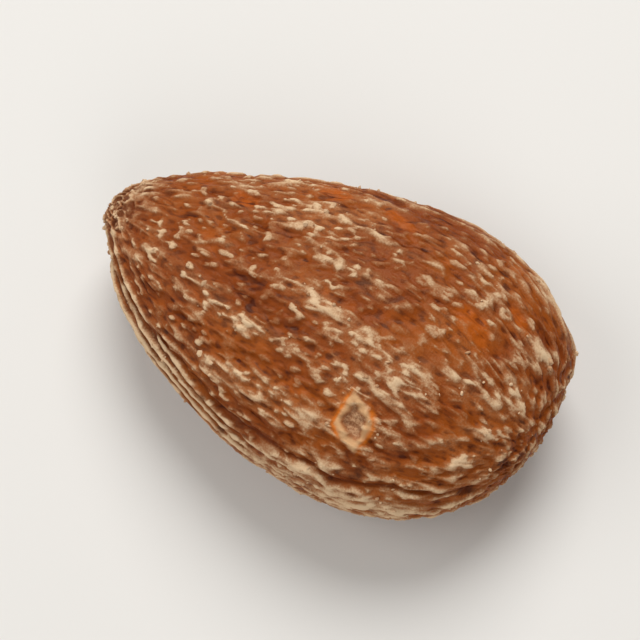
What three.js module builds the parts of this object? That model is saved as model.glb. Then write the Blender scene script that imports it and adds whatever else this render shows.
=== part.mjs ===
// A whole almond kernel in its skin, lying on one of its two broad faces.
// Millimetres, +Z up. +X points from the tip to the broad end. The origin is on the
// surface that the kernel rests on, under the middle of its box.

import * as THREE from 'three';

// Driving dimensions
const LENGTH = 25; // tip to broad end
const WIDTH = 15.8; // edge to edge, at the widest
const THICKNESS = 8.6; // broad face to broad face, at the thickest

// How many times fuller the kernel is at its broad end than at its tip
const WIDTH_SWELL = 2.13;
const THICKNESS_SWELL = 1.45;

// Its cross-sections are superellipses: 2 is a plain ellipse, and more is squarer
const SECTION_SQUARENESS = 2.3;

// Its midline bows towards the seam, so that the seam's edge is the fuller one
const BOW = 0.6;

// The tip is blunt: a flat scar, where the kernel hung in its shell, faces out between
// the tip and the seam
const SCAR_TURN = THREE.MathUtils.degToRad(40); // from the length's line towards the seam
const SCAR_STANDOFF = 0.28; // from the rounded tip's end to the scar's plane

// The seam is a low ridge along one edge (-Y), given by shares of the length
const SEAM_HEIGHT = 0.25;
const SEAM_BREADTH = 1.4;
const SEAM_START = 0.02;
const SEAM_END = 0.55;
const SEAM_FADE = 0.06;

// A small nub stands on the broad end, towards the edge that has no seam
const NUB_HEIGHT = 0.3;
const NUB_RADIUS = 1.2;
const NUB_ASIDE = 3.6;

// The flat spot that the kernel rests on, in the middle of the lower face
const REST_SPOT_DEPTH = 0.26; // how far up the rounded belly it reaches

// Facets
const RINGS = 30; // steps along the length
const SIDES = 56; // steps around

const SKIN_BROWN = 0x95603f;

// An ellipse that leans to the broad end: both ends are round, the tip the narrower one.
function eggHeight(share, swell) {
  return Math.sqrt(share * (1 - share)) * THREE.MathUtils.lerp(1, swell, share);
}

function eggPeak(swell) {
  let peak = 0;
  for (let share = 0; share <= 1; share += 0.001) {
    peak = Math.max(peak, eggHeight(share, swell));
  }
  return peak;
}

const WIDTH_PEAK = eggPeak(WIDTH_SWELL);
const THICKNESS_PEAK = eggPeak(THICKNESS_SWELL);

function halfWidth(share) {
  return (WIDTH / 2) * (eggHeight(share, WIDTH_SWELL) / WIDTH_PEAK);
}

function halfThickness(share) {
  return (THICKNESS / 2) * (eggHeight(share, THICKNESS_SWELL) / THICKNESS_PEAK);
}

function signedPower(value, power) {
  return Math.sign(value) * Math.abs(value) ** power;
}

function bump(distance, breadth) {
  return Math.exp(-((distance / breadth) ** 2));
}

// How far the seam stands out at a place on the edge, 0 on the other edge
function seamHeight(share, y, z) {
  if (y > 0) return 0;
  const begins = THREE.MathUtils.smoothstep(share, SEAM_START, SEAM_START + SEAM_FADE);
  const ends = 1 - THREE.MathUtils.smoothstep(share, SEAM_END - SEAM_FADE, SEAM_END);
  return SEAM_HEIGHT * begins * ends * bump(z, SEAM_BREADTH / 2);
}

function nubHeight(share, y, z) {
  if (share < 0.5) return 0;
  return NUB_HEIGHT * bump(Math.hypot(y - NUB_ASIDE, z), NUB_RADIUS);
}

// Presses a point that lies beyond the scar's plane back onto it
function pressOnScar(point) {
  const facing = new THREE.Vector3(-Math.cos(SCAR_TURN), -Math.sin(SCAR_TURN), 0);
  const beyond = point.dot(facing) - SCAR_STANDOFF;
  return beyond > 0 ? point.addScaledVector(facing, -beyond) : point;
}

// A point of the skin: share runs from 0 at the tip to 1 at the broad end, and angle
// goes around the kernel, from its +Y edge over the upper face to the seam.
function skinPoint(share, angle) {
  const power = 2 / SECTION_SQUARENESS;
  const y = halfWidth(share) * signedPower(Math.cos(angle), power);
  const z = halfThickness(share) * signedPower(Math.sin(angle), power);
  const bow = BOW * 4 * share * (1 - share);
  const point = new THREE.Vector3(
    LENGTH * share + nubHeight(share, y, z),
    y - seamHeight(share, y, z) - bow,
    Math.max(z, REST_SPOT_DEPTH - THICKNESS / 2),
  );
  return pressOnScar(point);
}

// Rings of points between one point at each end, closer together near the ends
function skinPoints() {
  const points = [skinPoint(0, 0)];
  for (let ring = 1; ring < RINGS; ring += 1) {
    const share = (1 - Math.cos((Math.PI * ring) / RINGS)) / 2;
    for (let side = 0; side < SIDES; side += 1) {
      points.push(skinPoint(share, (2 * Math.PI * side) / SIDES));
    }
  }
  points.push(skinPoint(1, 0));
  return points;
}

// Triangles over those points, facing out
function skinFaces() {
  const at = (ring, side) => 1 + (ring - 1) * SIDES + (side % SIDES);
  const tip = 0;
  const end = 1 + (RINGS - 1) * SIDES;
  const faces = [];
  for (let side = 0; side < SIDES; side += 1) {
    faces.push(tip, at(1, side + 1), at(1, side));
    for (let ring = 1; ring < RINGS - 1; ring += 1) {
      faces.push(at(ring, side), at(ring, side + 1), at(ring + 1, side + 1));
      faces.push(at(ring, side), at(ring + 1, side + 1), at(ring + 1, side));
    }
    faces.push(at(RINGS - 1, side), at(RINGS - 1, side + 1), end);
  }
  return faces;
}

function makeKernel() {
  const geometry = new THREE.BufferGeometry().setFromPoints(skinPoints());
  geometry.setIndex(skinFaces());
  geometry.computeBoundingBox();
  const box = geometry.boundingBox;
  const middle = box.getCenter(new THREE.Vector3());
  geometry.translate(-middle.x, -middle.y, -box.min.z);
  geometry.computeVertexNormals();
  const skin = new THREE.MeshStandardMaterial({
    color: SKIN_BROWN,
    roughness: 0.75,
    metalness: 0,
  });
  const kernel = new THREE.Mesh(geometry, skin);
  kernel.name = 'almond';
  return kernel;
}

const group = new THREE.Group();
group.add(makeKernel());

export default group;
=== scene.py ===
import math

import bpy
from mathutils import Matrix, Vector


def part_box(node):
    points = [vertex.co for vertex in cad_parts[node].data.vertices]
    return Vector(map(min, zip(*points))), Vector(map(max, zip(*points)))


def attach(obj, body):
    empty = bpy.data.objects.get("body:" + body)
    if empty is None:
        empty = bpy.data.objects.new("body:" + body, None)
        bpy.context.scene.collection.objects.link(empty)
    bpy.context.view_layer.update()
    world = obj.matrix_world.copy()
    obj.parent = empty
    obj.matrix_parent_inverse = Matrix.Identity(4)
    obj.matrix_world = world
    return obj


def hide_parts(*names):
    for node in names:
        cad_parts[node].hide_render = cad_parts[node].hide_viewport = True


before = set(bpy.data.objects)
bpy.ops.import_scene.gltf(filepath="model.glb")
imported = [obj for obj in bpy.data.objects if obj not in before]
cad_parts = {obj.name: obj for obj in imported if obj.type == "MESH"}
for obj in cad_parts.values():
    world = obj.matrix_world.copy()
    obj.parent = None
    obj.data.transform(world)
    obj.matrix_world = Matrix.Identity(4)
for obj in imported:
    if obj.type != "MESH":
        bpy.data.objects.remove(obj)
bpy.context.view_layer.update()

# ---- The kernel -------------------------------------------------------------------------
# One whole seed in its thin brown skin, grown as one piece. The flesh dried and shrank, so
# the skin lies in wrinkles that run from the tip to the broad end. It is a ball's net of
# meridians, pushed out to the kernel's shape, and the wrinkles are raised on that.

MM = 0.001


class Amount:
    """A value that nodes work out at every place, so that a sum here is a sum in the tree."""

    def __init__(self, tree, socket):
        self.tree = tree
        self.socket = socket

    def worked_by(self, kind, operation, others):
        node = add_node(self.tree, kind, operation=operation)
        for slot, value in zip(node.inputs, (self, *others)):
            plug(self.tree, slot, value)
        return Amount(self.tree, node.outputs[0])

    def calc(self, operation, *others):
        return self.worked_by("ShaderNodeMath", operation, others)

    def vector_calc(self, operation, *others):
        return self.worked_by("ShaderNodeVectorMath", operation, others)

    def scaled(self, factor):
        values = {"Vector": self, "Scale": factor}
        node = add_node(self.tree, "ShaderNodeVectorMath", values, operation="SCALE")
        return Amount(self.tree, node.outputs[0])

    def parts(self):
        node = add_node(self.tree, "ShaderNodeSeparateXYZ", {"Vector": self})
        return [Amount(self.tree, socket) for socket in node.outputs]

    def __add__(self, other):
        return self.calc("ADD", other)

    def __sub__(self, other):
        return self.calc("SUBTRACT", other)

    def __mul__(self, other):
        return self.calc("MULTIPLY", other)

    def __truediv__(self, other):
        return self.calc("DIVIDE", other)

    def __rsub__(self, other):
        return (self * -1) + other

    def power(self, exponent):
        return self.calc("POWER", exponent)

    def root(self):
        return self.calc("SQRT")

    def size(self):
        return self.calc("ABSOLUTE")

    def at_least(self, least):
        return self.calc("MAXIMUM", least)

    def at_most(self, most):
        return self.calc("MINIMUM", most)

    def ramp(self, low, high):
        """0 below low, 1 above high, and a smooth rise between them."""
        values = {"Value": self, "From Min": low, "From Max": high}
        node = add_node(
            self.tree, "ShaderNodeMapRange", values, interpolation_type="SMOOTHSTEP"
        )
        return Amount(self.tree, node.outputs["Result"])

    def hump(self, breadth):
        """1 where this is 0, falling away as a bell of that breadth."""
        ratio = self / breadth
        return (ratio * ratio * -1).calc("EXPONENT")


def plug(tree, slot, value):
    """Wires a worked-out value to a socket, or sets a plain one."""
    if isinstance(value, Amount):
        tree.links.new(value.socket, slot)
    else:
        slot.default_value = value


def add_node(tree, kind, values=None, **options):
    node = tree.nodes.new(kind)
    for name, option in options.items():
        setattr(node, name, option)
    for slot, value in (values or {}).items():
        plug(tree, node.inputs[slot], value)
    return node


def place_of(tree, x, y, z):
    node = add_node(tree, "ShaderNodeCombineXYZ", {"X": x, "Y": y, "Z": z})
    return Amount(tree, node.outputs[0])


def noise(tree, where, size, seed, detail=1.0, roughness=0.5):
    """A smooth random value from 0 to 1, with lumps of about that size."""
    node = add_node(
        tree,
        "ShaderNodeTexNoise",
        {"Vector": where, "W": seed, "Scale": 1 / size, "Detail": detail, "Roughness": roughness},
        noise_dimensions="4D",
    )
    return Amount(tree, node.outputs[0])


def uneven(tree, where, size, seed, detail=1.0):
    """The same about 0, so that it adds and takes away alike."""
    return noise(tree, where, size, seed, detail) - 0.5


def position(tree):
    return Amount(tree, add_node(tree, "GeometryNodeInputPosition").outputs[0])


def stored(tree, name):
    node = add_node(tree, "GeometryNodeInputNamedAttribute", {"Name": name}, data_type="FLOAT")
    return Amount(tree, node.outputs["Attribute"])


def store(tree, mesh, name, value, kind="FLOAT", domain="POINT"):
    node = add_node(
        tree,
        "GeometryNodeStoreNamedAttribute",
        {"Geometry": mesh, "Name": name, "Value": value},
        data_type=kind,
        domain=domain,
    )
    return Amount(tree, node.outputs["Geometry"])


def move_to(tree, mesh, places):
    node = add_node(tree, "GeometryNodeSetPosition", {"Geometry": mesh, "Position": places})
    return Amount(tree, node.outputs["Geometry"])


def open_tree(name, sizes, made):
    """A new tree with an input for each size, and the inputs as amounts by their names."""
    tree = bpy.data.node_groups.new(name, "GeometryNodeTree")
    for size in sizes:
        tree.interface.new_socket(size, in_out="INPUT", socket_type="NodeSocketFloat")
    tree.interface.new_socket(made, in_out="OUTPUT", socket_type="NodeSocketGeometry")
    inputs = tree.nodes.new("NodeGroupInput")
    return tree, {socket.name: Amount(tree, socket) for socket in inputs.outputs if socket.name}


def close_tree(tree, mesh, finish):
    """Ends a tree: what it has made is one real mesh, in its finish."""
    whole = add_node(tree, "GeometryNodeRealizeInstances", {"Geometry": mesh})
    dressed = add_node(
        tree,
        "GeometryNodeSetMaterial",
        {"Geometry": Amount(tree, whole.outputs[0]), "Material": finish},
    )
    tree.links.new(dressed.outputs[0], tree.nodes.new("NodeGroupOutput").inputs[0])


WIDTH_SWELL = 2.13  # how many times fuller the broad end is than the tip, seen from above
THICKNESS_SWELL = 1.45  # the same, seen from the side
REST_DEPTH = 0.26 * MM  # how far up the rounded belly the rest spot reaches

kernel_low, kernel_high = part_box("almond")
kernel_size = kernel_high - kernel_low

kernel_sizes = {
    "Length": kernel_size.x,
    "Width": kernel_size.y,
    "Thickness": kernel_size.z + REST_DEPTH,
    "Rest Depth": REST_DEPTH,
    "Scar Standoff": 0.28 * MM,
    "Bow": 0.6 * MM,
    "Squareness": 2.3,
    "Seam Height": 0.25 * MM,
    "Seam Breadth": 1.4 * MM,
    "Nub Height": 0.3 * MM,
    "Nub Radius": 1.2 * MM,
    "Nub Aside": 3.6 * MM,
    "Belt Height": 0.16 * MM,
    "Rib Height": 0.22 * MM,
    "Lump Depth": 0.32 * MM,
    "Fold Depth": 0.09 * MM,
    "Wrinkle Depth": 0.12 * MM,
    "Grain Depth": 0.02 * MM,
    "Crease Depth": 0.12 * MM,
    "Flake Height": 0.09 * MM,
    "Blister Height": 0.16 * MM,
    "Seed": 6.0,
}

# The net. Its poles are the kernel's tip and a place near the middle of its broad end.
AROUND = 470  # meridians
ALONG = 212  # steps from the tip to the broad end
EASE = 0.15  # share of those steps, at each end, that draw closer together
OPEN_GIRTH = 0.6  # the meridians are well apart where the ball has this share of its girth
POLE_TURN = math.radians(-8)  # how far to the seam's side the meridians meet at the broad end
POLE_TURN_START = -0.3  # how far along the ball, from -1 to 1, that turn sets in


def make_net(tree):
    """A ball on which each point knows its share of the length and its turn around it."""
    ball = add_node(
        tree, "GeometryNodeMeshUVSphere", {"Segments": AROUND, "Rings": ALONG, "Radius": 1.0}
    )
    mesh = Amount(tree, ball.outputs["Mesh"])

    # The ball's own unwrapping stays on the kernel, for its finish to be baked on
    mesh = store(tree, mesh, "OFBake", Amount(tree, ball.outputs["UV Map"]), "FLOAT2", "CORNER")

    x, y, z = position(tree).parts()
    girth = (x * x + y * y).root()
    mesh = store(tree, mesh, "open", girth.ramp(0.0, OPEN_GIRTH))
    mesh = store(tree, mesh, "net_side", x / girth * stored(tree, "open"))
    mesh = store(tree, mesh, "net_face", y / girth * stored(tree, "open"))

    # From the tip on, the net turns more and more, so that at the broad end its meridians
    # draw together a little to the seam's side of the middle
    turn = z.ramp(POLE_TURN_START, 1.0) * POLE_TURN
    turned_x = x * turn.calc("COSINE") + z * turn.calc("SINE")
    turned_z = z * turn.calc("COSINE") - x * turn.calc("SINE")
    mesh = move_to(tree, mesh, place_of(tree, turned_x, y, turned_z))

    # The share and the side are read off the turned ball, whose points x, y and z now are
    rings = (z * -1).calc("ARCCOSINE") / math.pi
    near, far = rings.at_most(EASE), (rings - (1 - EASE)).at_least(0)
    between = (rings - EASE).at_least(0).at_most(1 - 2 * EASE)
    eased = (near * near - far * far) / (2 * EASE) + between + far
    mesh = store(tree, mesh, "share", eased / (1 - EASE))
    mesh = store(tree, mesh, "side", x / girth)
    return store(tree, mesh, "face", y / girth)


# The smooth form, given by shares of the length
SEAM_START, SEAM_END, SEAM_FADE = 0.02, 0.55, 0.06  # the low ridge along the seam
NUB_HALF = 0.5  # the nub is on the half beyond this
SCAR_TURN = math.radians(40)  # the scar faces this far from the length's line, to the seam
SCAR_EDGE = (-0.15 * MM, 0.05 * MM)  # how far from its plane the scar begins and is full

# The low belt along the seam's edge, and the crease that sets it off
BELT_THIN, BELT_FULL = 0.4, 0.45  # how far up the thickness it reaches, at the tip and beyond
BELT_WIDENS = (0.45, 0.65)
BELT_STARTS, BELT_ENDS = (0.03, 0.1), (0.85, 0.98)
BELT_SLOPE = 0.3 * MM  # how wide the slope at the belt's edge is
CREASE_ASIDE, CREASE_BREADTH = 0.1 * MM, 0.1 * MM
WAVER_LUMPS, WAVER_STRETCH = 1.8 * MM, 0.6  # the belt wavers in lumps drawn out lengthwise
EDGE_WAVER, RIB_WAVER = 0.8, 0.35  # how much of a millimetre its edge and its ribs stray


def egg_peak(swell):
    """The greatest half breadth of an egg of length 1 whose far end is swell times as full."""
    lean = swell - 1
    share = ((3 * lean - 2) + math.sqrt((3 * lean - 2) ** 2 + 16 * lean)) / (8 * lean)
    return math.sqrt(share * (1 - share)) * (1 + lean * share)


def half_breadth(share, swell, greatest):
    """Half an egg's breadth at that share of its length, where its breadth is greatest at most."""
    girth = (share * (1 - share)).at_least(0).root()
    return girth * (share * (swell - 1) + 1) * greatest / (2 * egg_peak(swell))


def form_kernel(tree, mesh, given):
    """Pushes the net out to the kernel's smooth form, and marks the scar and the belt on it."""
    share, side, face = (stored(tree, name) for name in ("share", "side", "face"))
    exponent = given["Squareness"].power(-1) * 2
    half_width = half_breadth(share, WIDTH_SWELL, given["Width"])
    half_thick = half_breadth(share, THICKNESS_SWELL, given["Thickness"])
    y = half_width * side.size().power(exponent) * side.calc("SIGN")
    z = half_thick * face.size().power(exponent) * face.calc("SIGN")
    seam_edge = y.calc("LESS_THAN", 0)
    seam_run = share.ramp(SEAM_START, SEAM_START + SEAM_FADE) * (
        1 - share.ramp(SEAM_END - SEAM_FADE, SEAM_END)
    )
    seam = seam_run * z.hump(given["Seam Breadth"] / 2) * seam_edge
    nub_away = ((y - given["Nub Aside"]).power(2) + z.power(2)).root()
    nub = nub_away.hump(given["Nub Radius"]) * share.calc("GREATER_THAN", NUB_HALF)
    bow = given["Bow"] * 4 * share * (1 - share)
    formed_x = given["Length"] * share + nub * given["Nub Height"]
    formed_y = y - seam * given["Seam Height"] - bow

    # What lies beyond the scar's plane is pressed back onto it
    beyond = (
        formed_x * -math.cos(SCAR_TURN) + formed_y * -math.sin(SCAR_TURN)
    ) - given["Scar Standoff"]
    press = beyond.at_least(0)
    mesh = store(tree, mesh, "scar", beyond.ramp(*SCAR_EDGE))

    belt_half = half_thick * (share.ramp(*BELT_WIDENS) * (BELT_FULL - BELT_THIN) + BELT_THIN)
    belt_run = share.ramp(*BELT_STARTS) * (1 - share.ramp(*BELT_ENDS)) * seam_edge
    drawn_out = place_of(tree, given["Length"] * share * WAVER_STRETCH, y, z)
    waver = uneven(tree, drawn_out, WAVER_LUMPS, given["Seed"] + 11) * MM
    from_edge = z.size() - belt_half + waver * EDGE_WAVER
    mesh = store(tree, mesh, "belt", (1 - from_edge.ramp(-BELT_SLOPE, 0.0)) * belt_run)
    mesh = store(tree, mesh, "crease", (from_edge - CREASE_ASIDE).hump(CREASE_BREADTH) * belt_run)
    mesh = store(tree, mesh, "across", z + waver * RIB_WAVER)

    places = place_of(
        tree,
        formed_x + press * math.cos(SCAR_TURN),
        formed_y + press * math.sin(SCAR_TURN),
        z.at_least(given["Rest Depth"] - given["Thickness"] / 2),
    )
    return move_to(tree, mesh, places)


def stand_on_origin(tree, mesh):
    """Stands the kernel's box over the origin, where the frame's box stands."""
    box = add_node(tree, "GeometryNodeBoundBox", {"Geometry": mesh})
    low, high = Amount(tree, box.outputs["Min"]), Amount(tree, box.outputs["Max"])
    middle_x, middle_y, _ = low.vector_calc("ADD", high).scaled(0.5).parts()
    foot = low.parts()[2]
    off = place_of(tree, middle_x, middle_y, foot)
    return move_to(tree, mesh, position(tree).vector_calc("SUBTRACT", off))


# Long folds are laid out on a drum around the length, so that they meet at both ends
FOLD_TURNS = 6.2  # the drum's radius, in widths of a fold
FOLDS_ALONG = 4  # the drum's length, in lengths of a fold
FOLD_STRAY, STRAY_LUMPS = 2.5, 5.0 * MM  # how far the folds stray, in widths, in what lumps
FOLD_GAIN = 5  # makes their ups and downs about 1

# Short wrinkles, the gaps that break them and the grain start as even noise, and are combed
# along the meridians: the size of the noise's lumps, its seed, and the steps of the combing
COMBED = {
    "wave": (0.56 * MM, 3, (1, 2, 4)),
    "gap": (0.42 * MM, 4, (1, 2)),
    "grain": (0.27 * MM, 9, (1,)),
}


def comb_lengthwise(tree, mesh, name, values, strides):
    """Stores values smeared along the meridians, then evened to a mean of 0 and a spread of 1.

    The smearing eases off where the meridians close up, or it would draw a star there.
    """
    mesh = store(tree, mesh, name, values)
    index = Amount(tree, add_node(tree, "GeometryNodeInputIndex").outputs[0])
    last = AROUND * (ALONG - 1) + 1

    def neighbour(step):
        there = (index + AROUND * step).at_least(0).at_most(last)
        node = add_node(
            tree,
            "GeometryNodeFieldAtIndex",
            {"Index": there, "Value": stored(tree, name)},
            data_type="FLOAT",
            domain="POINT",
        )
        return Amount(tree, node.outputs["Value"])

    for stride in strides:
        smeared = (neighbour(-stride) + neighbour(stride) - stored(tree, name) * 2) / 4
        mesh = store(tree, mesh, name, stored(tree, name) + smeared * stored(tree, "open"))
    spread = add_node(
        tree,
        "GeometryNodeAttributeStatistic",
        {"Geometry": mesh, "Attribute": stored(tree, name)},
        data_type="FLOAT",
        domain="POINT",
    )
    mean = Amount(tree, spread.outputs["Mean"])
    deviation = Amount(tree, spread.outputs["Standard Deviation"])
    return store(tree, mesh, name, (stored(tree, name) - mean) / deviation)


def lay_wrinkles(tree, mesh, seed):
    """Stores the folds, the short wrinkles, their gaps and the grain."""
    here = position(tree)
    stray = uneven(tree, here, STRAY_LUMPS, seed + 1) * FOLD_STRAY
    drum = place_of(
        tree,
        stored(tree, "net_side") * FOLD_TURNS + stray,
        stored(tree, "net_face") * FOLD_TURNS + stray,
        stored(tree, "share") * FOLDS_ALONG,
    )
    mesh = store(tree, mesh, "fold", uneven(tree, drum, 1.0, seed + 2) * FOLD_GAIN)
    for name, (lumps, own_seed, strides) in COMBED.items():
        values = noise(tree, here, lumps, seed + own_seed)
        mesh = comb_lengthwise(tree, mesh, name, values, strides)
    return mesh


# The crests of the wrinkles, by the values of wave, gap and grain that bound them
CREST_BREADTH = 1.1  # the wave at a crest's foot, where 0 is its ridge
DASH_ENDS = (-0.7, 0.7)  # the gap's values at which a crest breaks off, and is whole
BROAD_FACES = (0.4, 0.95)  # how squarely the skin faces up or down, from lines to dashes
EDGE_UNBROKEN = 0.75  # how much of a crest stays in its gaps on the kernel's edges
DOTS = (0.3, 1.5)  # the grain at a dot's foot and at its top
DOTS_THIN, DOTS_LOST = (0.25, 0.65), 0.3  # where along the length dots fade, and how much
TIP_NET = (0.03, 0.14)  # where along the length the net round the tip opens into lines


def wrinkle_crest(tree, read):
    """How much of a short wrinkle's crest is here, 0 to 1, from what the mesh has stored.

    The crests are fine lines, broken up into dashes on the broad faces. Dots of the grain lie
    among them, and round the tip they close in a net.
    """
    share, gap = read(tree, "share"), read(tree, "gap")
    lines = 1 - read(tree, "wave").size().ramp(0.0, CREST_BREADTH)
    unbroken = (1 - read(tree, "face").size().ramp(*BROAD_FACES)) * EDGE_UNBROKEN
    dashes = lines * gap.ramp(*DASH_ENDS).at_least(unbroken)
    dots = read(tree, "grain").ramp(*DOTS) * (1 - share.ramp(*DOTS_THIN) * DOTS_LOST)
    crests = dashes.at_least(dots)
    net = 1 - gap.size().ramp(0.0, 1.0)
    return crests + (net - crests) * (1 - share.ramp(*TIP_NET))


# The blister: a lozenge of skin whose ragged rim stands up around a sunken middle. Its marks
# are given by how far out they lie, where 1 is the lozenge's outline.
BLISTER = Vector((4.34, -4.92)) * MM  # its middle, on the upper face
BLISTER_TURN = math.radians(27)
BLISTER_HALVES = (0.8 * MM, 1.15 * MM)  # half its breadth and half its length
LOZENGE = 1.15  # 1 gives straight sides, and 2 an ellipse
BLISTER_RAGGED, BLISTER_LUMPS = 0.6, 0.45 * MM
RIM, RIM_BREADTH = 0.92, 0.27
AMBER, AMBER_BREADTH = 1.15, 0.2
AMBER_LEAN, AMBER_SIDES = 0.4, (0.4, 0.8)  # it keeps to the two side corners, off the ends
PIT_EDGE = (0.45, 0.85)


def upper_half(tree):
    return position(tree).parts()[2].calc("GREATER_THAN", kernel_size.z / 2)


def mark_blister(tree, mesh, seed):
    here = position(tree)
    x, y, _ = here.parts()
    off_x, off_y = x - BLISTER.x, y - BLISTER.y
    lean_cos, lean_sin = math.cos(BLISTER_TURN), math.sin(BLISTER_TURN)
    narrow = (off_x * lean_cos + off_y * lean_sin) / BLISTER_HALVES[0]
    tall = (off_y * lean_cos - off_x * lean_sin) / BLISTER_HALVES[1]
    ragged = uneven(tree, here, BLISTER_LUMPS, seed + 5) * BLISTER_RAGGED
    lozenge = (narrow.size().power(LOZENGE) + tall.size().power(LOZENGE)).power(1 / LOZENGE)
    out = lozenge + ragged
    amber = (narrow - tall * AMBER_LEAN).size().ramp(*AMBER_SIDES)
    amber = amber * (out - AMBER).hump(AMBER_BREADTH)
    upper = upper_half(tree)
    mesh = store(tree, mesh, "blister_ring", (out - RIM).hump(RIM_BREADTH) * upper)
    mesh = store(tree, mesh, "blister_amber", amber * upper)
    return store(tree, mesh, "blister_pit", (1 - out.ramp(*PIT_EDGE)) * upper)


# Flakes of seasoning stuck flat on the upper face: the middle's x and y, half the length and
# half the breadth in millimetres, and the turn in degrees
FLAKES = (
    (-2.1, -2.9, 1.0, 0.45, 0),
    (-0.6, -1.4, 0.8, 0.32, -20),
    (0.3, 0.3, 0.6, 0.3, -8),
    (0.9, -2.3, 1.0, 0.3, 15),
    (3.8, 0.6, 0.4, 0.25, 40),
    (-2.3, 2.1, 0.9, 0.3, 10),
)
# Spots of the upper face that stay clean of it, given alike
CLEAN_SPOTS = (
    (-5.6, 2.9, 0.8, 0.4, 0),
    (-2.0, 5.4, 1.1, 0.4, 0),
    (1.6, 5.4, 1.0, 0.3, -10),
    (7.2, 1.8, 1.2, 0.6, -25),
    (9.0, 3.4, 0.8, 0.3, -40),
)
FLAKE_RAGGED, CLEAN_RAGGED = 1.8, 1.0  # how far their edges stray in all, in half breadths
RAGGED_LUMPS = 0.35 * MM
SPOT_EDGE = (0.8, 1.2)  # where the edge begins and ends, in half breadths


def spot_mark(tree, spots, raggedness, seed):
    """1 in the spots of the upper face, 0 outside them, with ragged edges between."""
    here = position(tree)
    x, y, _ = here.parts()
    nearest = None
    for spot_x, spot_y, half_length, half_across, degrees in spots:
        turn = math.radians(degrees)
        off_x, off_y = x - spot_x * MM, y - spot_y * MM
        along = (off_x * math.cos(turn) + off_y * math.sin(turn)) / (half_length * MM)
        beside = (off_y * math.cos(turn) - off_x * math.sin(turn)) / (half_across * MM)
        away = (along * along + beside * beside).root()
        nearest = away if nearest is None else nearest.at_most(away)
    ragged = uneven(tree, here, RAGGED_LUMPS, seed + 7) * raggedness
    return (1 - (nearest + ragged).ramp(*SPOT_EDGE)) * upper_half(tree)


# How much more of the seasoning's dust lies in each place than elsewhere, where the range
# from bare to thickly covered is about 1
DUST_DRIFTS, DRIFT_LUMPS = 0.25, 1.4 * MM
DUST_ON_TIP, DUSTY_TIP = 0.25, (0.02, 0.13)
DUST_ON_EDGES, ROUND_EDGES = 0.1, (0.2, 0.75)
DUST_ON_MARKS = {"belt": 0.15, "scar": 0.2, "flake": 0.22, "clean": -0.4}
DUST_ON_FOLDS, MORE_BEYOND_TIP, BEYOND_TIP = 0.25, 0.35, (0.1, 0.4)  # on their crests
FOLD_LOW, FOLD_HIGH = -0.8, 0.6  # past these a fold takes no less and no more
DUST_IN_CREASE = -0.9
DUST_EVERYWHERE = 0.05


def settle_dust(tree, mesh, seed):
    """Stores where the dust lies: in drifts, along the folds, and on the tip and the edges."""
    share, face = stored(tree, "share"), stored(tree, "face")
    dust = uneven(tree, position(tree), DRIFT_LUMPS, seed + 8, detail=2.0) * DUST_DRIFTS
    dust = dust + (1 - share.ramp(*DUSTY_TIP)) * DUST_ON_TIP
    dust = dust + (1 - face.size().ramp(*ROUND_EDGES)) * DUST_ON_EDGES
    for name, more in DUST_ON_MARKS.items():
        dust = dust + stored(tree, name) * more
    crest = stored(tree, "fold").at_least(FOLD_LOW).at_most(FOLD_HIGH)
    dust = dust + crest * (share.ramp(*BEYOND_TIP) * MORE_BEYOND_TIP + DUST_ON_FOLDS)
    dust = dust + stored(tree, "crease") * DUST_IN_CREASE + DUST_EVERYWHERE
    return store(tree, mesh, "dusting", dust)


# The seam's fine ribs, on the tip's half of the belt
RIB_SPACING = 0.46 * MM
RIB_MEAN = 0.45  # taken off, so that there are furrows between the ribs
RIB_STARTS, RIB_ENDS = (0.03, 0.08), (0.4, 0.58)  # shares of the length
END_RAGGED, END_LUMPS = 0.25, 0.7 * MM  # how unevenly they end, as a share of the length
RIB_BREAKS, RIB_BREAK_DEPTH = (-2.4, -0.6), 0.6  # the gap's values where a rib sinks, how far
RIB_MIDDLE, RIB_REACH = 0.4 * MM, 1.25 * MM  # their band: how far up, and how far it reaches
RIB_FADE = (0.25, 0.6)  # the band's fading edge


def rib_seam_edge(tree, mesh, seed):
    """Stores the seam's ribs, which waver with the belt, break, and die out one by one."""
    share, across = stored(tree, "share"), stored(tree, "across")
    ribs = ((across / RIB_SPACING) * 2 * math.pi).calc("COSINE") * 0.5 + 0.5
    end = share + uneven(tree, position(tree), END_LUMPS, seed + 12) * END_RAGGED
    run = share.ramp(*RIB_STARTS) * (1 - end.ramp(*RIB_ENDS))
    breaks = stored(tree, "gap").ramp(*RIB_BREAKS) * RIB_BREAK_DEPTH + (1 - RIB_BREAK_DEPTH)
    band = (across - RIB_MIDDLE).hump(RIB_REACH).ramp(*RIB_FADE)
    band = band * stored(tree, "side").calc("LESS_THAN", 0)
    return store(tree, mesh, "rib", (ribs - RIB_MEAN) * (run * breaks) * band)


LUMPS = 5.5 * MM  # how long the slow swellings of the whole kernel are
POLE_END = 0.05  # how open the net is where folds and wrinkles reach their full height
CREST_MEAN = 0.3  # taken off, so that the wrinkles don't swell the kernel
GAP_RELIEF = 0.15  # how much the gaps rise and sink beside the crests
RIB_CLEAR = 0.3  # the height of rib that leaves no other wrinkle on it
PIT_DEPTH = 0.8  # of the blister's height


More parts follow.
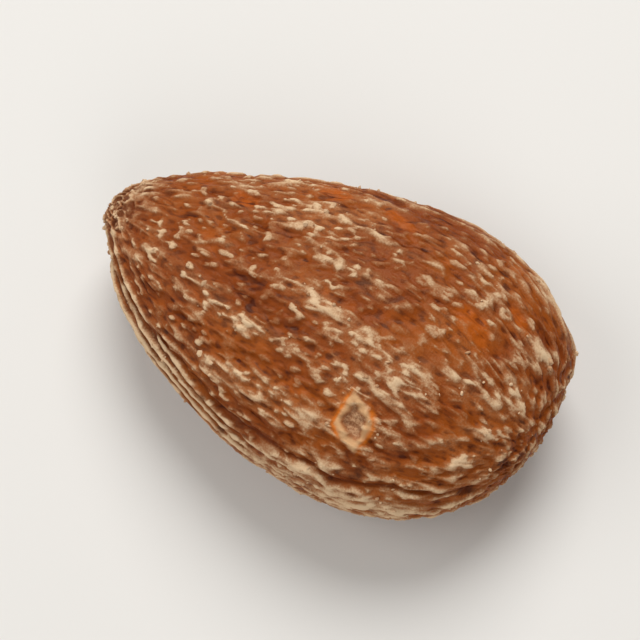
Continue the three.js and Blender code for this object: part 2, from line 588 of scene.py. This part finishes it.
def raise_relief(tree, mesh, given):
    """Moves each point out or in by what its marks say, but never below the table."""
    here = position(tree)
    crest = wrinkle_crest(tree, stored)
    ends = stored(tree, "open").ramp(0.0, POLE_END)
    plain = 1 - stored(tree, "rib").size().ramp(0.0, RIB_CLEAR)
    wrinkles = crest + stored(tree, "gap") * GAP_RELIEF - CREST_MEAN
    blister = stored(tree, "blister_ring") - stored(tree, "blister_pit") * PIT_DEPTH
    relief = (
        uneven(tree, here, LUMPS, given["Seed"] + 6) * given["Lump Depth"]
        + stored(tree, "fold") * given["Fold Depth"] * ends
        + wrinkles * given["Wrinkle Depth"] * ends * plain
        + stored(tree, "grain") * given["Grain Depth"]
        + stored(tree, "rib") * given["Rib Height"]
        + stored(tree, "belt") * given["Belt Height"]
        - stored(tree, "crease") * given["Crease Depth"]
        + stored(tree, "flake") * (crest * 0.5 + 0.5) * given["Flake Height"]
        + blister * given["Blister Height"]
    )
    normal = Amount(tree, add_node(tree, "GeometryNodeInputNormal").outputs[0])
    raised_x, raised_y, raised_z = here.vector_calc("ADD", normal.scaled(relief)).parts()
    return move_to(tree, mesh, place_of(tree, raised_x, raised_y, raised_z.at_least(0.0)))


def grow_kernel(skin):
    """The tree that grows the kernel: form, wrinkles and the marks that the finish follows."""
    tree, given = open_tree("grow_kernel", kernel_sizes, "Kernel")
    seed = given["Seed"]
    mesh = form_kernel(tree, make_net(tree), given)
    mesh = stand_on_origin(tree, mesh)
    mesh = lay_wrinkles(tree, mesh, seed)
    mesh = mark_blister(tree, mesh, seed)
    mesh = store(tree, mesh, "flake", spot_mark(tree, FLAKES, FLAKE_RAGGED, seed))
    mesh = store(tree, mesh, "clean", spot_mark(tree, CLEAN_SPOTS, CLEAN_RAGGED, seed))
    mesh = settle_dust(tree, mesh, seed)
    mesh = rib_seam_edge(tree, mesh, seed)
    mesh = raise_relief(tree, mesh, given)
    smooth = add_node(tree, "GeometryNodeSetShadeSmooth", {"Geometry": mesh})
    close_tree(tree, Amount(tree, smooth.outputs[0]), skin)
    return tree


def made_by(name, tree, values):
    """A plain mesh object: what the tree makes with those values."""
    maker = bpy.data.objects.new(name + "_maker", bpy.data.meshes.new(name + "_maker"))
    bpy.context.scene.collection.objects.link(maker)
    modifier = maker.modifiers.new("maker", "NODES")
    modifier.node_group = tree
    for socket in tree.interface.items_tree:
        if socket.in_out == "INPUT":
            modifier[socket.identifier] = values[socket.name]
    graph = bpy.context.evaluated_depsgraph_get()
    mesh = bpy.data.meshes.new_from_object(maker.evaluated_get(graph), depsgraph=graph)
    bpy.data.objects.remove(maker)
    piece = bpy.data.objects.new(name, mesh)
    bpy.context.scene.collection.objects.link(piece)
    return piece


def tone(red, green, blue):
    """A colour given from 0 to 255, as the light values that a node takes."""
    def light(value):
        value = value / 255
        return value / 12.92 if value <= 0.04045 else ((value + 0.055) / 1.055) ** 2.4

    return light(red), light(green), light(blue), 1.0


def blend_tones(tree, share, under, over):
    """The tone under, with that share of the tone over laid on it."""
    node = add_node(tree, "ShaderNodeMix", data_type="RGBA", blend_type="MIX")
    colours = [socket for socket in node.inputs if socket.type == "RGBA"]
    plug(tree, node.inputs["Factor"], share)
    plug(tree, colours[0], under)
    plug(tree, colours[1], over)
    return Amount(tree, next(socket for socket in node.outputs if socket.type == "RGBA"))


def mark(tree, name):
    node = add_node(tree, "ShaderNodeAttribute", attribute_name=name)
    return Amount(tree, node.outputs["Fac"])


def new_finish(name):
    """An empty material, and where each place of a piece is."""
    finish = bpy.data.materials.new(name)
    finish.use_nodes = True
    tree = finish.node_tree
    tree.nodes.clear()
    return finish, tree, Amount(tree, add_node(tree, "ShaderNodeTexCoord").outputs["Object"])


def coat(tree, surface):
    """Ends a material with its surface."""
    output = add_node(tree, "ShaderNodeOutputMaterial")
    tree.links.new(surface.outputs[0], output.inputs["Surface"])


THIN_SEASONING, THICK_SEASONING = tone(166, 116, 76), tone(222, 192, 154)


def make_seasoning_colour():
    """The seasoning's colour, which the dust on the skin and the crumbs share."""
    group = bpy.data.node_groups.new("seasoning_colour", "ShaderNodeTree")
    group.interface.new_socket("Level", in_out="INPUT", socket_type="NodeSocketFloat")
    group.interface.new_socket("Colour", in_out="OUTPUT", socket_type="NodeSocketColor")
    level = Amount(group, group.nodes.new("NodeGroupInput").outputs["Level"])
    colour = blend_tones(group, level, THIN_SEASONING, THICK_SEASONING)
    plug(group, group.nodes.new("NodeGroupOutput").inputs["Colour"], colour)
    return group


seasoning_colour = make_seasoning_colour()


def season(tree, level):
    """The seasoning's colour at a level from 0, where it is thin or coarse, to 1."""
    node = add_node(tree, "ShaderNodeGroup", {"Level": level}, node_tree=seasoning_colour)
    return Amount(tree, node.outputs["Colour"])


DULL_SKIN, WARM_SKIN, BRIGHT_SKIN = tone(132, 60, 16), tone(150, 74, 20), tone(178, 86, 20)
# The dark tone that is painted as shade in the furrows, the pits, the crease and between the ribs
FURROW_SHADE = tone(72, 22, 5)
AMBER_SKIN, PALE_RIM = tone(214, 114, 28), tone(208, 164, 118)
DULL_FLESH, PALE_FLESH = tone(138, 94, 64), tone(196, 154, 116)
WARM_GLOSS = (1.0, 0.78, 0.55, 1.0)  # the skin tints what it reflects

SPECKS = 0.1 * MM
FIBRES, FIBRE_DRUM = 0.13 * MM, 6.0 * MM  # on a drum of that radius and length
WARM_PATCHES, WARM_FROM = 3.5 * MM, (0.4, 0.62)
BRIGHT_PATCHES, BRIGHT_FROM = 1.3 * MM, (0.6, 0.75)
BRIGHT_PATCH, BRIGHTEST = 0.5, 0.7  # a patch against a clean spot, and that spot's own

# How much painted shade each kind of furrow gets, and between which values of their mark it
# darkens the skin
FURROW_ASIDE, FURROW_BREADTH = 1.3, 0.35  # the wave's value in the furrows beside the crests
BESIDE_CRESTS, CREST_FADE = 0.6, (-0.8, 0.8)
BETWEEN_FIBRES, FIBRE_FADE = 0.3, (0.0, 0.2)
BETWEEN_FOLDS, FOLD_FADE = 0.4, (0.0, 1.6)
BETWEEN_GRAINS, GRAIN_FADE = 0.8, (0.5, 2.0)
IN_CREASE = 0.9
RIB_FURROWS = (0.08, 0.4)
TIP_FURROWS, MESH_FADE = (0.04, 0.13), (0.0, 0.5)  # in the net round the tip
MESH_LEVEL = 0.6  # the crest under which the net's meshes darken
# How dark the painted shade is at its fullest
DARKEST_SHADE = 0.8

# How well the dust holds on each, and how it covers the skin as its level rises
CREST_DUST, RIB_DUST, GRAIN_DUST = 0.65, 1.5, 0.16
PATCHY_DUST = 0.9  # how much the specks break up the dust
DUST_FADE, DUST_COVER = (-0.1, 1.1), 0.9
THIN_FADE, THIN_COVER = (-0.3, 1.2), 0.35  # a thin veil of it, off the crests too
PALE_FADE = (0.3, 1.4)

# How the blister's marks cover the skin
AMBER_COVER, PIT_COVER, RIM_COVER = 0.9, 0.8, 0.85
PIT_FADE, RIM_FADE, FLESH_FADE = (0.2, 0.9), (0.2, 1.0), (0.3, 0.7)
FLESH_GRAIN = 0.08

BARE_ROUGHNESS, DUST_ROUGHNESS = 0.38, 0.35  # the dust's is added to the skin's
BUMP_DEPTH, BUMP_STRENGTH = 0.04 * MM, 0.7
DUST_BUMP, FIBRE_BUMP = 0.8, 0.4  # beside the specks' of 1


def skin_colour(tree, here, specks, fibres, crest):
    """The bare skin: orange-brown in patches, with fine fibres, and painted shade beside the
    crests and in the other furrows.
    """
    patches = noise(tree, here, WARM_PATCHES, 11.0, detail=2.0)
    bare = blend_tones(tree, patches.ramp(*WARM_FROM), DULL_SKIN, WARM_SKIN)
    bright = noise(tree, here, BRIGHT_PATCHES, 14.0).ramp(*BRIGHT_FROM) * BRIGHT_PATCH
    bright = bright.at_least(mark(tree, "clean"))
    bare = blend_tones(tree, bright * BRIGHTEST, bare, BRIGHT_SKIN)

    # Painted shade: the dark tone is laid beside the crests, between the fibres, folds and grains,
    # in the tip's net, in the crease and between the ribs
    beside = (mark(tree, "wave").size() - FURROW_ASIDE).hump(FURROW_BREADTH)
    furrow_shade = beside * mark(tree, "gap").ramp(*CREST_FADE) * BESIDE_CRESTS
    furrow_shade = furrow_shade + (0.5 - fibres).ramp(*FIBRE_FADE) * BETWEEN_FIBRES
    furrow_shade = furrow_shade + (mark(tree, "fold") * -1).ramp(*FOLD_FADE) * BETWEEN_FOLDS
    furrow_shade = furrow_shade + (mark(tree, "grain") * -1).ramp(*GRAIN_FADE) * BETWEEN_GRAINS
    near_tip = 1 - mark(tree, "share").ramp(*TIP_FURROWS)
    furrow_shade = furrow_shade.at_least(near_tip * (MESH_LEVEL - crest).ramp(*MESH_FADE))
    furrow_shade = furrow_shade.at_least(mark(tree, "crease") * IN_CREASE)
    furrow_shade = furrow_shade.at_least((mark(tree, "rib") * -1).ramp(*RIB_FURROWS))
    return blend_tones(tree, furrow_shade * DARKEST_SHADE, bare, FURROW_SHADE)


def blister_over(tree, colour, specks):
    """Lays the blister on a colour: a pale rim with amber outside it, and dull flesh inside."""
    colour = blend_tones(tree, mark(tree, "blister_amber") * AMBER_COVER, colour, AMBER_SKIN)
    mottle = (specks + mark(tree, "grain") * FLESH_GRAIN).ramp(*FLESH_FADE)
    flesh = blend_tones(tree, mottle, DULL_FLESH, PALE_FLESH)
    pit = mark(tree, "blister_pit").ramp(*PIT_FADE) * PIT_COVER
    rim = mark(tree, "blister_ring").ramp(*RIM_FADE) * RIM_COVER
    return blend_tones(tree, rim, blend_tones(tree, pit, colour, flesh), PALE_RIM)


def make_skin_finish():
    skin, tree, here = new_finish("almond_skin")
    crest = wrinkle_crest(tree, mark)
    specks = noise(tree, here, SPECKS, 13.0, detail=2.0, roughness=0.6)
    around = [mark(tree, name) * FIBRE_DRUM for name in ("net_side", "net_face", "share")]
    fibres = noise(tree, place_of(tree, *around), FIBRES, 15.0)
    colour = skin_colour(tree, here, specks, fibres, crest)

    # The dust is thin wherever it has settled, and thick on the crests there
    settled = mark(tree, "dusting")
    patchy = (specks - 0.5) * PATCHY_DUST
    held = crest * CREST_DUST + mark(tree, "rib") * RIB_DUST + mark(tree, "grain") * GRAIN_DUST
    level = held + patchy + settled
    thin = (settled + (specks - 0.5)).ramp(*THIN_FADE) * THIN_COVER
    dust = level.ramp(*DUST_FADE).at_least(thin)
    seasoning = season(tree, level.ramp(*PALE_FADE))
    colour = blend_tones(tree, dust * DUST_COVER, colour, seasoning)
    colour = blister_over(tree, colour, specks)

    height = specks + dust * DUST_BUMP + fibres * FIBRE_BUMP
    bump = add_node(
        tree,
        "ShaderNodeBump",
        {"Strength": BUMP_STRENGTH, "Distance": BUMP_DEPTH, "Height": height},
    )
    surface = add_node(
        tree,
        "ShaderNodeBsdfPrincipled",
        {
            "Base Color": colour,
            "Roughness": dust * DUST_ROUGHNESS + BARE_ROUGHNESS,
            "Specular IOR Level": 0.16,
            "Specular Tint": WARM_GLOSS,
            "Normal": Amount(tree, bump.outputs[0]),
        },
    )
    coat(tree, surface)
    return skin


kernel = made_by("almond_kernel", grow_kernel(make_skin_finish()), kernel_sizes)
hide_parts("almond")
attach(kernel, "root")

# ---- The seasoning ----------------------------------------------------------------------
# Crumbs and grains of the dry seasoning, which cling to the skin where its dust lies thick.
# They are small broken lumps, scattered over the kernel and half sunk in the dust.

crumb_sizes = {
    "Crumbs To A Square Metre": 7.0e6,
    "Smallest Radius": 0.04 * MM,
    "Largest Radius": 0.15 * MM,
    "Raggedness": 0.09 * MM,
    "Clear Of The Table": 0.3 * MM,
}

CRUMBY_FROM = 0.8  # the dusting at which crumbs lie as thick as anywhere
CREST_HOLDS = 0.8  # how many of the crumbs cling to crests only
NARROWEST, WIDEST = 0.5, 1.4  # how a crumb's three sizes stray from its radius
BREAKS = 0.12 * MM  # how long the broken faces of a crumb are
BREAK_SEEDS = (21.0, 22.0, 23.0)


def random_value(tree, low, high, seed, kind="FLOAT"):
    node = add_node(tree, "FunctionNodeRandomValue", {"Seed": seed}, data_type=kind)
    live = [socket for socket in node.inputs if socket.enabled]
    for slot, value in zip(live, (low, high)):
        plug(tree, slot, value)
    return Amount(tree, next(socket for socket in node.outputs if socket.enabled))


def scatter_crumbs(base, crumb_finish):
    """The tree that scatters crumbs over the base piece and breaks each to its own shape."""
    tree, given = open_tree("scatter_crumbs", crumb_sizes, "Crumbs")
    skin = add_node(tree, "GeometryNodeObjectInfo", {"Object": base})
    here = position(tree)
    cling = wrinkle_crest(tree, stored) * CREST_HOLDS + (1 - CREST_HOLDS)
    share = stored(tree, "dusting").ramp(0.0, CRUMBY_FROM) * cling
    share = share * here.parts()[2].calc("GREATER_THAN", given["Clear Of The Table"])
    points = add_node(
        tree,
        "GeometryNodeDistributePointsOnFaces",
        {
            "Mesh": Amount(tree, skin.outputs["Geometry"]),
            "Density": share * given["Crumbs To A Square Metre"],
            "Seed": 7,
        },
    )
    lump = add_node(tree, "GeometryNodeMeshIcoSphere", {"Radius": 1.0, "Subdivisions": 1})
    small, large = given["Smallest Radius"], given["Largest Radius"]
    radius = small + (large - small) * random_value(tree, 0.0, 1.0, 1).power(3)
    turn = random_value(tree, (0, 0, 0), (math.tau,) * 3, 2, "FLOAT_VECTOR")
    sizes = random_value(tree, (NARROWEST,) * 3, (WIDEST,) * 3, 3, "FLOAT_VECTOR")
    crumbs = add_node(
        tree,
        "GeometryNodeInstanceOnPoints",
        {
            "Points": Amount(tree, points.outputs["Points"]),
            "Instance": Amount(tree, lump.outputs["Mesh"]),
            "Rotation": turn,
            "Scale": sizes.scaled(radius),
        },
    )
    tint = random_value(tree, 0.0, 1.0, 4)
    mesh = store(tree, Amount(tree, crumbs.outputs[0]), "tint", tint, domain="INSTANCE")
    whole = add_node(tree, "GeometryNodeRealizeInstances", {"Geometry": mesh})
    breaks = [uneven(tree, here, BREAKS, seed) for seed in BREAK_SEEDS]
    broken = here.vector_calc("ADD", place_of(tree, *breaks).scaled(given["Raggedness"]))
    close_tree(tree, move_to(tree, Amount(tree, whole.outputs[0]), broken), crumb_finish)
    return tree


MOTTLE = 0.08 * MM
OWN_TINT, MOTTLED, TINT_LESS = 0.7, 0.6, 0.15  # how much each tells, and what is taken off
COARSEST, PALER = 0.12, 0.75  # the darkest crumbs' level, and how far above the palest are
CRUMB_ROUGHNESS, MOTTLE_ROUGHNESS = 0.5, 0.4


def make_crumb_finish():
    """Each crumb has a tint of its own, and a fine mottle."""
    finish, tree, here = new_finish("seasoning_crumbs")
    mottle = noise(tree, here, MOTTLE, 24.0)
    level = (mark(tree, "tint") * OWN_TINT + mottle * MOTTLED - TINT_LESS).ramp(0.0, 1.0)
    surface = add_node(
        tree,
        "ShaderNodeBsdfPrincipled",
        {
            "Base Color": season(tree, level * PALER + COARSEST),
            "Roughness": mottle * MOTTLE_ROUGHNESS + CRUMB_ROUGHNESS,
            "Specular IOR Level": 0.3,
        },
    )
    coat(tree, surface)
    return finish


crumbs = made_by("seasoning_crumbs", scatter_crumbs(kernel, make_crumb_finish()), crumb_sizes)
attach(crumbs, "root")

# ---- The table and the light ------------------------------------------------------------
# A pale tabletop, a soft window of light beyond the kernel's plain edge, and two weaker ones
# on the seam's side, so that the wrinkles read and no side is lost.

TABLE_HALF = 0.3
TABLE_TONE = tone(222, 219, 214)
TABLE_ROUGHNESS = 0.8
ROOM_LIGHT = 0.25  # how much light the room around gives
ROOM_TINT = (1.0, 0.99, 0.97, 1.0)
BACKDROP = 0.82  # how bright the room's wall looks behind the table


def make_table():
    mesh = bpy.data.meshes.new("tabletop")
    corners = [(-1, -1), (1, -1), (1, 1), (-1, 1)]
    mesh.from_pydata([(x * TABLE_HALF, y * TABLE_HALF, 0) for x, y in corners], [], [(0, 1, 2, 3)])
    table = bpy.data.objects.new("tabletop", mesh)
    bpy.context.scene.collection.objects.link(table)
    pale = bpy.data.materials.new("pale_table")
    pale.use_nodes = True
    surface = pale.node_tree.nodes["Principled BSDF"]
    surface.inputs["Base Color"].default_value = TABLE_TONE
    surface.inputs["Roughness"].default_value = TABLE_ROUGHNESS
    mesh.materials.append(pale)
    return table


def bearing(azimuth, height):
    """The way from the origin to a thing at that azimuth and height, in degrees."""
    turn, rise = math.radians(azimuth), math.radians(height)
    level = math.cos(rise)
    return Vector((math.sin(turn) * level, -math.cos(turn) * level, math.sin(rise)))


def add_window(name, azimuth, height, distance, breadth, power):
    """A round soft light that faces the kernel."""
    light = bpy.data.lights.new(name, "AREA")
    light.shape = "DISK"
    light.size = breadth
    light.energy = power
    window = bpy.data.objects.new(name, light)
    away = bearing(azimuth, height)
    window.location = away * distance
    window.rotation_euler = away.to_track_quat("Z", "Y").to_euler()
    bpy.context.scene.collection.objects.link(window)


make_table()
add_window("main_window", azimuth=200, height=50, distance=0.5, breadth=0.35, power=2.15)
add_window("side_window", azimuth=300, height=40, distance=0.5, breadth=0.4, power=0.85)
add_window("far_window", azimuth=40, height=35, distance=0.6, breadth=0.4, power=0.85)

# The camera sees the room brighter than it lights the kernel
room = bpy.data.worlds.new("studio")
room.use_nodes = True
glow = room.node_tree.nodes["Background"]
glow.inputs["Color"].default_value = ROOM_TINT
path = add_node(room.node_tree, "ShaderNodeLightPath")
seen = Amount(room.node_tree, path.outputs["Is Camera Ray"])
plug(room.node_tree, glow.inputs["Strength"], seen * (BACKDROP - ROOM_LIGHT) + ROOM_LIGHT)
bpy.context.scene.world = room
bpy.context.scene.view_settings.view_transform = "Standard"

# ---- The camera -------------------------------------------------------------------------
# It looks steeply down on the kernel from the seam's side, so that the kernel fills most
# of the frame, with its tip at the upper left.

CAMERA_AZIMUTH = 27.4
CAMERA_HEIGHT = 69.0
CAMERA_LENS = 85.0
CAMERA_DISTANCE = 0.0755
NEAREST_SEEN = 0.001  # the camera stands nearer than things are seen from by default

camera = bpy.data.objects.new("camera", bpy.data.cameras.new("camera"))
camera.data.lens = CAMERA_LENS
camera.data.clip_start = NEAREST_SEEN
back = bearing(CAMERA_AZIMUTH, CAMERA_HEIGHT)
camera.location = (kernel_low + kernel_high) / 2 + back * CAMERA_DISTANCE
camera.rotation_euler = back.to_track_quat("Z", "Y").to_euler()
bpy.context.scene.collection.objects.link(camera)
bpy.context.scene.camera = camera
